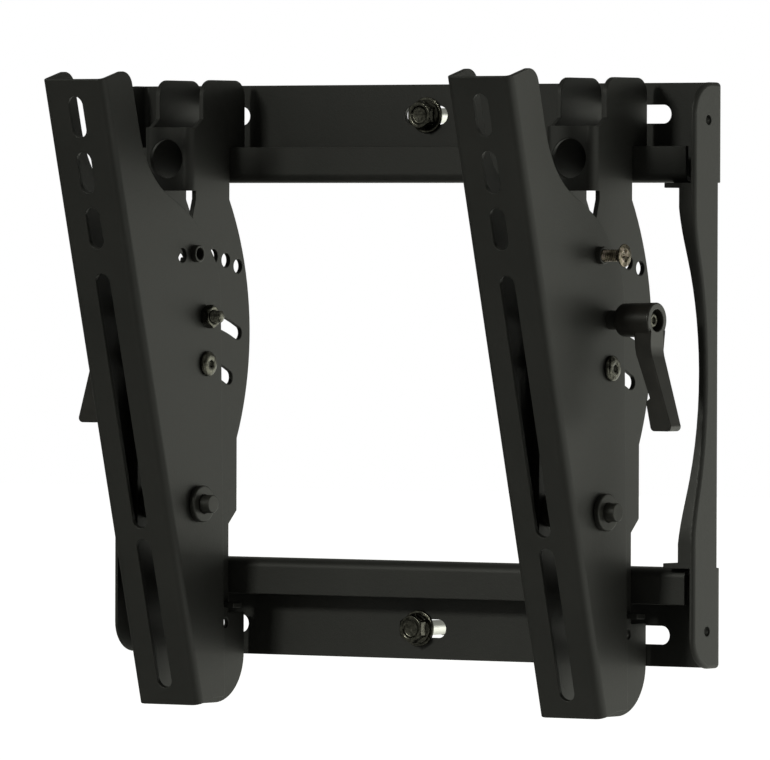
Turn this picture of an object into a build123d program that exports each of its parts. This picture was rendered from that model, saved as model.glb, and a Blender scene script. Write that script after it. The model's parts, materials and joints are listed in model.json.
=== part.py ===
from build123d import *
import os
from math import cos, radians, sin, tan

# A tilting wall bracket for a flat screen, in millimetres.
# X runs along the wall, +Y into the wall, +Z up. The origin is the centre of the wall plate's back.

# Sheet steel
sheet = 2.5
bend_inside = 2.0
fold = bend_inside + sheet / 2

# Wall plate
plate_width = 341.0
plate_height = 280.0
rail_height = 48.0
lip_reach = 21.0
lip_height = 17.5
lip_end_gap = 5.6
cheek_depth = 25.5
cheek_waist_depth = 14.9
cheek_waist_half = 80.0
cheek_curve_depth_share = 0.55
cheek_curve_height_share = 0.66
cheek_fold_radius = 2.0
cheek_corner_radius = 15.0
cheek_rear_gap = 5.0
cheek_hole_radius = 2.3
cheek_hole_depth = 13.5
cheek_hole_inset = 18.0
flange_width = 9.2
flange_waist_width = 4.4
flange_foot_width = 15.0
flange_foot_depth = 14.0
wall_slot_width = 9.0
wall_slot_inset = 15.0
outer_slot_x = 123.5
outer_slot_length = 37.0
centre_slot_length = 25.0

# Wall screws
lag_radius = 4.0
lag_length = 60.0
lag_head_flats = 12.4
lag_head_height = 6.5
lag_head_chamfer = 0.7
lag_flange_radius = 7.6
lag_flange_thickness = 1.4
lag_dish_radius = 4.6
lag_dish_depth = 1.0
lag_tip_length = 6.4
lag_tip_narrowing = 3.2
lag_washer_radius = 8.8
lag_washer_thickness = 1.6
top_lag_x = 1.0
bottom_lag_x = -3.0

# Where the two uprights hang on the rails
upright_x = 118.0

# Tilt pivot and range
pivot_depth = 52.5
pivot_rise = 27.0
tilt_forward = 15.0
tilt_back = 5.0
pin_radius = 5.0
pin_running_gap = 0.05
pin_stub_radius = 4.4
pin_stub_length = 5.4
pin_chamfer = 0.6
cap_radius = 9.0
cap_thickness = 3.0
cap_gap = 0.3
cap_chamfer = 0.5
sleeve_radius = 7.5

# Hook bracket
hook_width = 28.6
hook_rise = 2.3
hook_front = 44.0
hook_rear_gap = 6.0
hook_corner_radius = 8.0
hook_tail_drop = 10.0
hook_tail_gap = 2.0
lip_gap = 0.3
bulge_drop = 8.2
bulge_middle = 31.0
bulge_reach = 4.3
bulge_half = 64.5
back_straight = 14.5
back_step_rise = 16.5
back_step_length = 6.5
foot_gap = 9.5
foot_rear = 8.0
foot_drop = 23.0
foot_front = 45.0
foot_corner_radius = 24.0
front_edge = 62.0
front_edge_above = 112.0
front_edge_below = 20.0
web_front = 55.0
web_root = 50.0
web_drop = 23.3
web_height = 31.0
web_hole_radius = 9.5
web_relief = 4.0
tab_width = 8.0
tab_depth = 7.0
tab_drop = 5.8
foot_hole_depth = 24.0
foot_hole_drop = 5.0
foot_hole_radius = 2.5

# Screen bracket, measured from the pivot along its own face
screen_width = 37.0
face_offset = 25.2
face_above = 220.0
face_below = 95.5
wall_root = 12.0
stem_depth = 1.5
stem_corner_radius = 8.0
shoulder_start = 190.0
haunch_depth = 43.5
haunch_height = 92.0
haunch_curve_shares = ((0.22, 0.66), (0.64, 0.485), (0.92, 0.29))
tail_length = 9.0
tail_drop = 2.0
face_slot_width = 8.5
short_slot_length = 20.5
short_slot_heights = (201.5, 173.7, 145.9)
long_slot_middle = 58.7
long_slot_length = 128.6
low_slot_middle = -49.0
low_slot_length = 75.7

# Arc features: radius from the pivot, and angle from the face's direction towards the wall
hole_arc_radius = 122.3
hole_arc_step = 5.0
hole_arc_hole_radius = 3.5
safety_angle = 13.3
spare_hole_angle = 8.3
lock_arc_radius = 91.7
lock_angle = 18.8
guide_arc_radius = 68.7
guide_angle = 20.5
arc_slot_gap = 0.25
arc_slot_spare_angle = 1.0

# Guide spacer and its screws
guide_spacer_radius = 3.2
guide_screw_radius = 2.0
guide_screw_length = 12.0
guide_head_radius = 6.2
guide_head_height = 2.7
guide_head_round = 1.9
guide_socket_flats = 3.4
guide_socket_depth = 1.7
screw_hole_gap = 0.2

# Lock bolt and nut
lock_bolt_radius = 3.0
lock_bolt_chamfer = 0.5
lock_nut_flats = 10.0
lock_nut_height = 4.6
lock_thread_end = 4.6

# Safety screw and clinch nuts
clinch_radius = 4.2
clinch_height = 3.0
clinch_shank_radius = 3.6
safety_screw_radius = 2.9
safety_standout = 11.2
safety_head_radius = 5.5
safety_cone_height = 2.8
safety_rim_height = 0.8
safety_rim_round = 0.4
cross_slot_width = 1.4
cross_slot_length = 6.4
cross_slot_depth = 1.8

# Indexing lever, measured outwards from the screen bracket's wall
insert_collar_radius = 4.6
insert_collar_length = 5.7
insert_tooth_count = 12
insert_tooth_radius = 4.4
insert_tooth_depth = 0.7
insert_tooth_length = 1.6
insert_neck_radius = 2.8
insert_neck_length = 14.7
insert_thread_depth = 6.5
tooth_gap = 0.25
handle_gap = 0.3
handle_radius = 8.5
handle_start_radius = 7.9
handle_start_round = 2.4
handle_end_round = 0.8
handle_length = 20.5
handle_shoulder = 1.8
handle_well_radius = 5.2
arm_reach = 52.6
arm_lean = 17.0
arm_bend_drop = 15.0
arm_bend_radius = 20.0
arm_root_width = 12.5
arm_tip_width = 9.0
arm_root_thickness = 9.7
arm_waist_thickness = 7.8
arm_tip_thickness = 12.2
arm_grip_drop = 37.0
arm_grip_step = 2.8
arm_grip_step_drop = 1.6
arm_tip_round = 2.2
lever_screw_head_radius = 4.3
lever_screw_head_height = 2.6
lever_screw_head_round = 1.5
lever_screw_radius = 1.6
lever_screw_length = 6.0
lever_screw_flats = 3.0
lever_screw_socket_depth = 1.6
spring_wire = 0.8
spring_turns = 4

# Edges and corners are picked within this distance of where they are drawn
near = 0.1

half_width = plate_width / 2
half_height = plate_height / 2
rail_inner = half_height - rail_height
lip_top = rail_inner + lip_height
lip_half = half_width - sheet - lip_end_gap
pivot_y = -pivot_depth
pivot_height = -rail_inner + pivot_rise
sides = {"right": 1, "left": -1}


def save(part, name):
    """Labels a finished piece and writes it under its own name."""
    part.label = name
    export_step(part, f"parts/{name}.step")


def face_up():
    """Unit vector up the screen bracket's face."""
    return Vector(0, -sin(radians(tilt_forward)), cos(radians(tilt_forward)))


def face_back():
    """Unit vector square to the screen bracket's face, towards the wall."""
    return Vector(0, cos(radians(tilt_forward)), sin(radians(tilt_forward)))


def pivot_point(x):
    """The tilt axis at a place along the wall."""
    return Vector(x, pivot_y, pivot_height)


def tilted_side(x):
    """Plane of a tilted side wall: local x runs back from the face, local y up along it."""
    return Plane(origin=pivot_point(x), x_dir=face_back(), z_dir=(1, 0, 0))


def arc_place(radius, angle):
    """Local (back, up) place on an arc about the pivot, in the tilted side plane."""
    return (radius * sin(radians(angle)), radius * cos(radians(angle)))


def axis_plane(x, radius, angle, outward):
    """Plane square to X at a place on an arc of the tilted wall, facing outward (+1 or -1)."""
    back, up = arc_place(radius, angle)
    origin = pivot_point(x) + face_back() * back + face_up() * up
    return Plane(origin=origin, x_dir=face_back() * outward, z_dir=(outward, 0, 0))


def cheek_front(edge_depth, waist_depth):
    """Waisted front line of a cheek, from its upper shoulder to its lower one."""
    curve_depth = waist_depth + (edge_depth - waist_depth) * cheek_curve_depth_share
    curve_height = cheek_waist_half * cheek_curve_height_share
    return Spline(
        (-edge_depth, cheek_waist_half),
        (-curve_depth, curve_height),
        (-waist_depth, 0),
        (-curve_depth, -curve_height),
        (-edge_depth, -cheek_waist_half),
        tangents=((0, -1), (0, -1)),
    )


# Wall plate: two rails, the folded corners, the waisted cheeks and their flanges
with BuildPart() as wall_plate:
    for up in (1, -1):
        with BuildSketch(Plane.YZ.offset(-lip_half)):
            with BuildLine():
                FilletPolyline(
                    (-sheet / 2, up * half_height),
                    (-sheet / 2, up * (rail_inner + sheet / 2)),
                    (-lip_reach + sheet / 2, up * (rail_inner + sheet / 2)),
                    (-lip_reach + sheet / 2, up * lip_top),
                    radius=fold,
                )
            trace(line_width=sheet)
        extrude(amount=2 * lip_half)
        for side in (1, -1):
            with BuildSketch(Plane.XY.offset(min(up * half_height, up * rail_inner))):
                with BuildLine():
                    FilletPolyline(
                        (side * (lip_half - fold), -sheet / 2),
                        (side * (half_width - sheet / 2), -sheet / 2),
                        (side * (half_width - sheet / 2), -cheek_depth),
                        radius=fold,
                    )
                trace(line_width=sheet)
            extrude(amount=rail_height)
    for side in (1, -1):
        edge_depth = cheek_depth - sheet / 2
        waist_depth = cheek_waist_depth - sheet / 2
        cheek_inside = half_width - sheet
        flange_inside = half_width - flange_width
        with BuildSketch(Plane.YZ.offset(cheek_inside if side > 0 else -half_width)):
            with BuildLine():
                front = cheek_front(edge_depth, waist_depth)
                Polyline(
                    front @ 1,
                    (-edge_depth, -rail_inner),
                    (-cheek_rear_gap, -rail_inner),
                    (-cheek_rear_gap, rail_inner),
                    (-edge_depth, rail_inner),
                    front @ 0,
                )
            make_face()
        extrude(amount=sheet)
        with BuildSketch(Plane.YZ.offset(flange_inside if side > 0 else -half_width)):
            with BuildLine():
                Line((-edge_depth, rail_inner), (-edge_depth, cheek_waist_half))
                cheek_front(edge_depth, waist_depth)
                Line((-edge_depth, -cheek_waist_half), (-edge_depth, -rail_inner))
            trace(line_width=sheet)
        extrude(amount=flange_width)
        # The flange narrows towards the waist
        with BuildSketch(Plane.XZ):
            with BuildLine():
                ThreePointArc(
                    (side * flange_inside, cheek_waist_half),
                    (side * (half_width - flange_waist_width), 0),
                    (side * flange_inside, -cheek_waist_half),
                )
                Line(
                    (side * flange_inside, -cheek_waist_half),
                    (side * flange_inside, cheek_waist_half),
                )
            make_face()
        extrude(amount=cheek_depth + sheet, mode=Mode.SUBTRACT)
        # Feet of the flange against the rails
        for up in (1, -1):
            foot_middle = Vector(
                side * (cheek_inside - flange_foot_width / 2 + sheet / 2),
                -cheek_depth + flange_foot_depth / 2,
                up * (rail_inner - sheet / 2),
            )
            with Locations(foot_middle):
                Box(flange_foot_width + sheet, flange_foot_depth, sheet)
    cheek_corners = wall_plate.edges().filter_by(Axis.X).filter_by(
        lambda e: e.center().Y < -cheek_depth + near and abs(e.center().Z) > half_height - near
    )
    fillet(cheek_corners, cheek_corner_radius)
    cheek_folds = wall_plate.edges().filter_by(
        lambda e: abs(e.center().X) > half_width - near
        and e.center().Y < -cheek_waist_depth + near
        and abs(e.center().Z) < rail_inner - near
    )
    fillet(cheek_folds, cheek_fold_radius)
    with BuildSketch(Plane.XZ):
        for up in (1, -1):
            slot_z = up * (half_height - wall_slot_inset)
            with Locations((-outer_slot_x, slot_z), (outer_slot_x, slot_z)):
                SlotOverall(outer_slot_length, wall_slot_width)
            with Locations((0, slot_z)):
                SlotOverall(centre_slot_length, wall_slot_width)
    extrude(amount=sheet, mode=Mode.SUBTRACT)
    with BuildSketch(Plane.YZ):
        hole_z = half_height - cheek_hole_inset
        with Locations((-cheek_hole_depth, hole_z), (-cheek_hole_depth, -hole_z)):
            Circle(cheek_hole_radius)
    extrude(amount=half_width, both=True, mode=Mode.SUBTRACT)
save(wall_plate.part, "wall_plate")

# Wall screws and washers, standing in the centre slots
lag_places = [
    (top_lag_x, half_height - wall_slot_inset),
    (bottom_lag_x, -half_height + wall_slot_inset),
]
with BuildPart() as lag_washers:
    with BuildSketch(Plane.XZ.offset(sheet)):
        with Locations(*lag_places):
            Circle(lag_washer_radius)
            Circle(lag_radius + screw_hole_gap, mode=Mode.SUBTRACT)
    extrude(amount=lag_washer_thickness)
save(lag_washers.part, "lag_washers")

with BuildPart() as lag_screws:
    head_face = sheet + lag_washer_thickness
    with BuildSketch(Plane.XZ.offset(head_face)):
        with Locations(*lag_places):
            Circle(lag_flange_radius)
    extrude(amount=lag_flange_thickness)
    with BuildSketch(Plane.XZ.offset(head_face)):
        with Locations(*lag_places):
            RegularPolygon(lag_head_flats / 2, 6, major_radius=False)
    extrude(amount=lag_head_height)
    head_rims = lag_screws.edges().group_by(Axis.Y)[0]
    chamfer(head_rims, lag_head_chamfer)
    with BuildSketch(Plane.XZ.offset(head_face + lag_head_height)):
        with Locations(*lag_places):
            Circle(lag_dish_radius)
    extrude(amount=-lag_dish_depth, mode=Mode.SUBTRACT)
    tip_start = head_face - lag_length
    with BuildSketch(Plane.XZ.offset(tip_start)):
        with Locations(*lag_places):
            Circle(lag_radius)
    extrude(amount=lag_length)
    tip_rims = lag_screws.edges().group_by(Axis.Y)[-1]
    chamfer(tip_rims, lag_tip_length, lag_tip_narrowing)
save(lag_screws.part, "lag_screws")


def hook_bracket(centre_x):
    """Folded U: two hooked side walls and a bridge web with a round hole."""
    rear_line = -lip_reach - lip_gap
    hook_rear = -sheet - hook_rear_gap
    tail_front = -lip_reach + sheet + hook_tail_gap
    hook_top = half_height + hook_rise
    web_top = hook_top - web_drop
    web_bottom = web_top - web_height
    back_step_end = -rail_inner + back_step_rise
    back_straight_end = back_step_end + back_step_length
    foot_top = -lip_top - foot_gap
    foot_bottom = -half_height - foot_drop
    with BuildPart() as bracket:
        with BuildSketch(Plane.YZ.offset(centre_x - hook_width / 2)) as wall:
            with BuildLine():
                upper = Polyline(
                    (-web_root, web_bottom),
                    (-web_root, web_top),
                    (-hook_front, web_top + web_relief),
                    (-hook_front, hook_top),
                    (hook_rear, hook_top),
                    (hook_rear, lip_top - hook_tail_drop),
                    (tail_front, lip_top - hook_tail_drop),
                    (tail_front, lip_top),
                    (rear_line, lip_top),
                    (rear_line, rail_inner - bulge_drop),
                )
                bulge = ThreePointArc(
                    upper @ 1,
                    (-bulge_reach, bulge_middle),
                    (-back_straight, bulge_middle - bulge_half),
                )
                Polyline(
                    bulge @ 1,
                    (-back_straight, back_straight_end),
                    (rear_line, back_step_end),
                    (rear_line, foot_top),
                    (-foot_rear, foot_top),
                    (-foot_rear, foot_bottom),
                    (-foot_front, foot_bottom),
                    (-front_edge, pivot_height - front_edge_below),
                    (-front_edge, pivot_height + front_edge_above),
                    (-web_root, web_bottom - web_relief),
                    (-web_root, web_bottom),
                )
            make_face()
            hook_corners = wall.vertices().filter_by(lambda v: v.Y > hook_top - near)
            fillet(hook_corners, hook_corner_radius)
            foot_corner = wall.vertices().filter_by(
                lambda v: v.Y < foot_bottom + near and v.X > -foot_front + near
            )
            fillet(foot_corner, foot_corner_radius)
            # Pivot, the two arc slots, the arc of holes and the small foot hole
            with Locations((pivot_y, pivot_height)):
                Circle(pin_radius, mode=Mode.SUBTRACT)
            swept = tilt_forward + tilt_back + 2 * arc_slot_spare_angle
            for radius, angle, half in (
                (lock_arc_radius, lock_angle, lock_bolt_radius + arc_slot_gap),
                (guide_arc_radius, guide_angle, guide_spacer_radius + arc_slot_gap),
            ):
                rear_angle = angle + tilt_back + arc_slot_spare_angle
                with BuildLine(mode=Mode.PRIVATE) as track:
                    CenterArc((pivot_y, pivot_height), radius, 90 - rear_angle, swept)
                SlotArc(track.edge(), 2 * half, mode=Mode.SUBTRACT)
            hole_count = round((tilt_forward + tilt_back) / hole_arc_step) + 1
            for index in range(hole_count):
                back, up = arc_place(hole_arc_radius, safety_angle - tilt_forward + index * hole_arc_step)
                with Locations((pivot_y + back, pivot_height + up)):
                    Circle(hole_arc_hole_radius, mode=Mode.SUBTRACT)
            with Locations((-foot_hole_depth, foot_top - foot_hole_drop)):
                Circle(foot_hole_radius, mode=Mode.SUBTRACT)
        extrude(amount=sheet)
        mirror(about=Plane.YZ.offset(centre_x))
        # Bridge web folded across the front, with its round hole
        middle = hook_width / 2 - sheet / 2
        with BuildSketch(Plane.XY.offset(web_bottom)):
            with BuildLine():
                FilletPolyline(
                    (centre_x - middle, -web_root),
                    (centre_x - middle, -web_front + sheet / 2),
                    (centre_x + middle, -web_front + sheet / 2),
                    (centre_x + middle, -web_root),
                    radius=fold,
                )
            trace(line_width=sheet)
        extrude(amount=web_top - web_bottom)
        with BuildSketch(Plane.XZ.offset(web_front)):
            with Locations((centre_x, (web_top + web_bottom) / 2)):
                Circle(web_hole_radius)
        extrude(amount=-sheet - bend_inside, mode=Mode.SUBTRACT)
        # Small tabs bent out under the bottom rail's lip
        for side in (1, -1):
            tab_middle = Vector(
                centre_x + side * (hook_width + tab_width - sheet) / 2,
                rear_line - tab_depth / 2,
                -lip_top - tab_drop,
            )
            with Locations(tab_middle):
                Box(tab_width + sheet, tab_depth, sheet)
    return bracket.part


def screen_bracket(centre_x, side):
    """Folded U that straddles the hook bracket: slotted face and two haunched side walls."""
    middle = screen_width / 2 - sheet / 2
    foot = pivot_point(centre_x) - face_up() * face_below
    face_length = face_above + face_below
    with BuildPart() as bracket:
        with BuildSketch(Plane(origin=foot, x_dir=(1, 0, 0), z_dir=face_up())):
            with BuildLine():
                FilletPolyline(
                    (-middle, -wall_root),
                    (-middle, -face_offset + sheet / 2),
                    (middle, -face_offset + sheet / 2),
                    (middle, -wall_root),
                    radius=fold,
                )
            trace(line_width=sheet)
        extrude(amount=face_length)
        with BuildSketch(tilted_side(centre_x - screen_width / 2)) as wall:
            with BuildLine():
                tail_depth = tail_length - wall_root
                rear_run = Vector(tail_depth - haunch_depth, -face_below - tail_drop - haunch_height)
                shoulder_rise = shoulder_start - haunch_height
                haunch_curve = [
                    (haunch_depth * depth_share, haunch_height + shoulder_rise * rise_share)
                    for depth_share, rise_share in haunch_curve_shares
                ]
                stem = Polyline(
                    (-wall_root, -face_below),
                    (-wall_root, face_above),
                    (-stem_depth, face_above),
                    (-stem_depth, shoulder_start),
                )
                haunch = Spline(
                    stem @ 1,
                    *haunch_curve,
                    (haunch_depth, haunch_height),
                    tangents=((0, -1), rear_run),
                )
                Polyline(
                    haunch @ 1,
                    (tail_depth, -face_below - tail_drop),
                    (-wall_root, -face_below),
                )
            make_face()
            stem_corner = wall.vertices().filter_by(
                lambda v: v.Y > face_above - near and v.X > -wall_root + near
            )
            fillet(stem_corner, stem_corner_radius)
            Circle(pin_radius + pin_running_gap, mode=Mode.SUBTRACT)
            for radius, angle, hole in (
                (lock_arc_radius, lock_angle, lock_bolt_radius + screw_hole_gap),
                (guide_arc_radius, guide_angle, guide_screw_radius + screw_hole_gap),
                (hole_arc_radius, safety_angle, clinch_shank_radius),
            ):
                with Locations(arc_place(radius, angle)):
                    Circle(hole, mode=Mode.SUBTRACT)
        extrude(amount=sheet)
        mirror(about=Plane.YZ.offset(centre_x))
        # A spare hole in the inner wall alone
        inner_wall = centre_x - side * screen_width / 2
        with BuildSketch(axis_plane(inner_wall, hole_arc_radius, spare_hole_angle, side)):
            Circle(hole_arc_hole_radius)
        extrude(amount=sheet, mode=Mode.SUBTRACT)
        # Slots in the face for the screen's screws
        front = pivot_point(centre_x) - face_back() * face_offset
        with BuildSketch(Plane(origin=front, x_dir=(1, 0, 0), z_dir=-face_back())):
            for height in short_slot_heights:
                with Locations((0, height)):
                    SlotOverall(short_slot_length, face_slot_width, rotation=90)
            with Locations((0, long_slot_middle)):
                SlotOverall(long_slot_length, face_slot_width, rotation=90)
            with Locations((0, low_slot_middle)):
                SlotOverall(low_slot_length, face_slot_width, rotation=90)
        extrude(amount=-sheet, mode=Mode.SUBTRACT)
    return bracket.part


def pivot_pin(centre_x):
    """Plain pin through all four walls, with a stub beyond each end cap."""
    half = screen_width / 2 + cap_gap + cap_thickness
    with BuildPart() as pin:
        with BuildSketch(Plane(origin=pivot_point(centre_x), z_dir=(1, 0, 0))):
            Circle(pin_radius)
        extrude(amount=half - cap_thickness / 2, both=True)
        with BuildSketch(Plane(origin=pivot_point(centre_x), z_dir=(1, 0, 0))):
            Circle(pin_stub_radius)
        extrude(amount=half + pin_stub_length, both=True)
        stub_ends = pin.edges().group_by(Axis.X)
        chamfer(stub_ends[0] + stub_ends[-1], pin_chamfer)
    return pin.part


def pivot_caps(centre_x):
    """A disc on each end of the pin, bored in two steps for the pin and its stub."""
    with BuildPart() as caps:
        for outward in (1, -1):
            start = centre_x + outward * (screen_width / 2 + cap_gap)
            with BuildSketch(Plane(origin=pivot_point(start), z_dir=(outward, 0, 0))):
                Circle(cap_radius)
                Circle(pin_radius, mode=Mode.SUBTRACT)
            extrude(amount=cap_thickness / 2)
            with BuildSketch(
                Plane(origin=pivot_point(start + outward * cap_thickness / 2), z_dir=(outward, 0, 0))
            ):
                Circle(cap_radius)
                Circle(pin_stub_radius, mode=Mode.SUBTRACT)
            extrude(amount=cap_thickness / 2)
        rims = caps.edges().filter_by(GeomType.CIRCLE).filter_by(lambda e: e.radius > cap_radius - near)
        outer = rims.group_by(Axis.X)
        chamfer(outer[0] + outer[-1], cap_chamfer)
    return caps.part


def pivot_sleeve(centre_x):
    """Spacer tube on the pin, between the hook bracket's walls."""
    with BuildPart() as sleeve:
        with BuildSketch(Plane(origin=pivot_point(centre_x), z_dir=(1, 0, 0))):
            Circle(sleeve_radius)
            Circle(pin_radius, mode=Mode.SUBTRACT)
        extrude(amount=hook_width / 2 - sheet, both=True)
    return sleeve.part


def guide_spacer(centre_x):
    """Tapped spacer between the screen bracket's walls, running in the lower arc slots."""
    with BuildPart() as spacer:
        with BuildSketch(axis_plane(centre_x, guide_arc_radius, guide_angle, 1)):
            Circle(guide_spacer_radius)
            Circle(guide_screw_radius, mode=Mode.SUBTRACT)
        extrude(amount=screen_width / 2 - sheet, both=True)
    return spacer.part


def guide_screws(centre_x):
    """Button-head socket screws in both ends of the guide spacer."""
    with BuildPart() as screws:
        for outward in (1, -1):
            seat = axis_plane(
                centre_x + outward * screen_width / 2, guide_arc_radius, guide_angle, outward
            )
            with BuildSketch(seat):
                Circle(guide_head_radius)
            extrude(amount=guide_head_height)
            head_rim = screws.edges().filter_by(GeomType.CIRCLE).sort_by(Axis.X)
            fillet(head_rim[-1 if outward > 0 else 0], guide_head_round)
            with BuildSketch(seat.offset(guide_head_height)):
                RegularPolygon(guide_socket_flats / 2, 6, major_radius=False)
            extrude(amount=-guide_socket_depth, mode=Mode.SUBTRACT)
            with BuildSketch(seat):
                Circle(guide_screw_radius)
            extrude(amount=-guide_screw_length)
    return screws.part


def lock_bolt(centre_x, side):
    """Clamping stud: its thread stands out of the nut inside and ends in the lever's insert outside."""
    inner = -side * (screen_width / 2 + lock_nut_height + lock_thread_end)
    outer = side * (screen_width / 2 + insert_thread_depth)
    start = axis_plane(centre_x + inner, lock_arc_radius, lock_angle, side)
    with BuildPart() as bolt:
        with BuildSketch(start):
            Circle(lock_bolt_radius)
        extrude(amount=abs(outer - inner))
        ends = bolt.edges().filter_by(GeomType.CIRCLE).group_by(Axis.X)
        chamfer(ends[0] + ends[-1], lock_bolt_chamfer)
    return bolt.part


def lock_nut(centre_x, side):
    """Hex nut against the inner wall."""
    seat = axis_plane(centre_x - side * screen_width / 2, lock_arc_radius, lock_angle, -side)
    with BuildPart() as nut:
        with BuildSketch(seat):
            RegularPolygon(lock_nut_flats / 2, 6, major_radius=False)
            Circle(lock_bolt_radius, mode=Mode.SUBTRACT)
        extrude(amount=lock_nut_height)
    return nut.part


def clinch_nuts(centre_x):
    """Threaded bosses pressed into both walls for the safety screw."""
    with BuildPart() as nuts:
        for outward in (1, -1):
            seat = axis_plane(centre_x + outward * screen_width / 2, hole_arc_radius, safety_angle, outward)
            with BuildSketch(seat):
                Circle(clinch_radius)
                Circle(safety_screw_radius, mode=Mode.SUBTRACT)
            extrude(amount=clinch_height)
            with BuildSketch(seat):
                Circle(clinch_shank_radius)
                Circle(safety_screw_radius, mode=Mode.SUBTRACT)
            extrude(amount=-sheet)
    return nuts.part


def safety_screw(centre_x, side):
    """Cross-head screw, backed out so that its tip stays clear of the hook bracket."""
    seat = axis_plane(centre_x + side * screen_width / 2, hole_arc_radius, safety_angle, side)
    with BuildPart() as screw:
        with BuildSketch(seat.offset(-sheet)):
            Circle(safety_screw_radius)
        extrude(amount=sheet + safety_standout)
        cone_end = safety_standout + safety_cone_height
        with BuildSketch(seat.offset(safety_standout)):
            Circle(safety_screw_radius)
        with BuildSketch(seat.offset(cone_end)):
            Circle(safety_head_radius)
        loft()
        with BuildSketch(seat.offset(cone_end)):
            Circle(safety_head_radius)
        extrude(amount=safety_rim_height)
        head_rim = screw.edges().filter_by(GeomType.CIRCLE).sort_by(Axis.X)
        fillet(head_rim[-1 if side > 0 else 0], safety_rim_round)
        with BuildSketch(seat.offset(cone_end + safety_rim_height)):
            Rectangle(cross_slot_length, cross_slot_width)
            Rectangle(cross_slot_width, cross_slot_length)
        extrude(amount=-cross_slot_depth, mode=Mode.SUBTRACT)
    return screw.part


def toothed_profile(tip_radius):
    """Ring of rounded index teeth: a disc with a circle of notches on its rim."""
    Circle(tip_radius)
    with PolarLocations(tip_radius, insert_tooth_count):
        Circle(insert_tooth_depth, mode=Mode.SUBTRACT)


def lever_seat(centre_x, side):
    """Plane on the outer wall at the lock bolt, facing outward."""
    return axis_plane(centre_x + side * screen_width / 2, lock_arc_radius, lock_angle, side)


def lever_insert(centre_x, side):
    """Steel insert: collar on the wall, ring of teeth, and a neck for the spring."""
    seat = lever_seat(centre_x, side)
    teeth_end = insert_collar_length + insert_tooth_length
    with BuildPart() as insert:
        with BuildSketch(seat):
            Circle(insert_collar_radius)
        extrude(amount=insert_collar_length)
        with BuildSketch(seat.offset(insert_collar_length)):
            toothed_profile(insert_tooth_radius)
        extrude(amount=insert_tooth_length)
        with BuildSketch(seat.offset(teeth_end)):
            Circle(insert_neck_radius)
        extrude(amount=insert_neck_length)
        with BuildSketch(seat):
            Circle(lock_bolt_radius + pin_running_gap)
        extrude(amount=insert_thread_depth, mode=Mode.SUBTRACT)
        with BuildSketch(seat.offset(teeth_end + insert_neck_length)):
            Circle(lever_screw_radius)
        extrude(amount=-lever_screw_length, mode=Mode.SUBTRACT)
    return insert.part


def arm_profile_plane(centre_x, side, out):
    """Plane through the lever's axis, at a distance out from the wall: local x runs down, local y outward."""
    origin = lever_seat(centre_x, side).offset(out).origin
    return Plane(origin=origin, x_dir=(0, 0, -1), z_dir=(0, -side, 0))


def lever_arm(centre_x, side, hub_end):
    """Arm of the handle: straight beside the hub, then leaning outward, with a stepped grip behind."""
    lean = tan(radians(arm_lean))
    taper = (arm_waist_thickness - arm_root_thickness) / arm_grip_drop
    bend_thickness = arm_root_thickness + taper * arm_bend_drop
    grip_out = (arm_grip_drop - arm_bend_drop) * lean
    step_out = (arm_grip_drop + arm_grip_step_drop - arm_bend_drop) * lean
    tip_out = (arm_reach - arm_bend_drop) * lean
    with BuildPart() as arm:
        with BuildSketch(arm_profile_plane(centre_x, side, hub_end)) as profile:
            with BuildLine():
                Polyline(
                    (0, 0),
                    (arm_bend_drop, 0),
                    (arm_reach, tip_out),
                    (arm_reach, tip_out - arm_tip_thickness),
                    (arm_grip_drop + arm_grip_step_drop, step_out - arm_waist_thickness - arm_grip_step),
                    (arm_grip_drop, grip_out - arm_waist_thickness),
                    (arm_bend_drop, -bend_thickness),
                    (0, -arm_root_thickness),
                    close=True,
                )
            make_face()
            bend = profile.vertices().filter_by(lambda v: abs(v.X - arm_bend_drop) < near)
            fillet(bend, arm_bend_radius)
            fillet(profile.vertices().group_by(Axis.X)[-1], arm_tip_round)
        extrude(amount=arm_root_width / 2, both=True)
        # The arm narrows towards its tip
        axis_start = lever_seat(centre_x, side).origin
        with BuildSketch(Plane(origin=axis_start, x_dir=(0, 0, -1), z_dir=(side, 0, 0))):
            with BuildLine():
                Polyline(
                    (0, arm_root_width / 2),
                    (arm_reach, arm_tip_width / 2),
                    (arm_reach, -arm_tip_width / 2),
                    (0, -arm_root_width / 2),
                    close=True,
                )
            make_face()
        extrude(amount=hub_end + arm_reach, mode=Mode.INTERSECT)
    return arm.part


def lever_handle(centre_x, side):
    """Cast handle: tapered hub with a toothed bore and a spring well, and the leaning arm."""
    seat = lever_seat(centre_x, side)
    hub_start = insert_collar_length + handle_gap
    hub_end = hub_start + handle_length
    shoulder_end = hub_start + insert_tooth_length + handle_shoulder
    arm = lever_arm(centre_x, side, hub_end)
    with BuildPart() as handle:
        with BuildSketch(arm_profile_plane(centre_x, side, hub_start)) as hub:
            with BuildLine():
                Polyline(
                    (0, 0),
                    (handle_start_radius, 0),
                    (handle_radius, handle_length),
                    (0, handle_length),
                    close=True,
                )
            make_face()
            fillet(hub.vertices().filter_by(lambda v: v.X > near and v.Y < near), handle_start_round)
            fillet(hub.vertices().group_by(Axis.X)[-1], handle_end_round)
        revolve(axis=Axis(seat.origin, seat.z_dir))
        add(arm)
        # Toothed bore, neck hole and spring well
        with BuildSketch(seat.offset(hub_start)):
            toothed_profile(insert_tooth_radius + tooth_gap)
        extrude(amount=insert_tooth_length, mode=Mode.SUBTRACT)
        with BuildSketch(seat.offset(hub_start)):
            Circle(insert_neck_radius + tooth_gap)
        extrude(amount=handle_length, mode=Mode.SUBTRACT)
        with BuildSketch(seat.offset(shoulder_end)):
            Circle(handle_well_radius)
        extrude(amount=handle_length, mode=Mode.SUBTRACT)
    return handle.part


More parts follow.
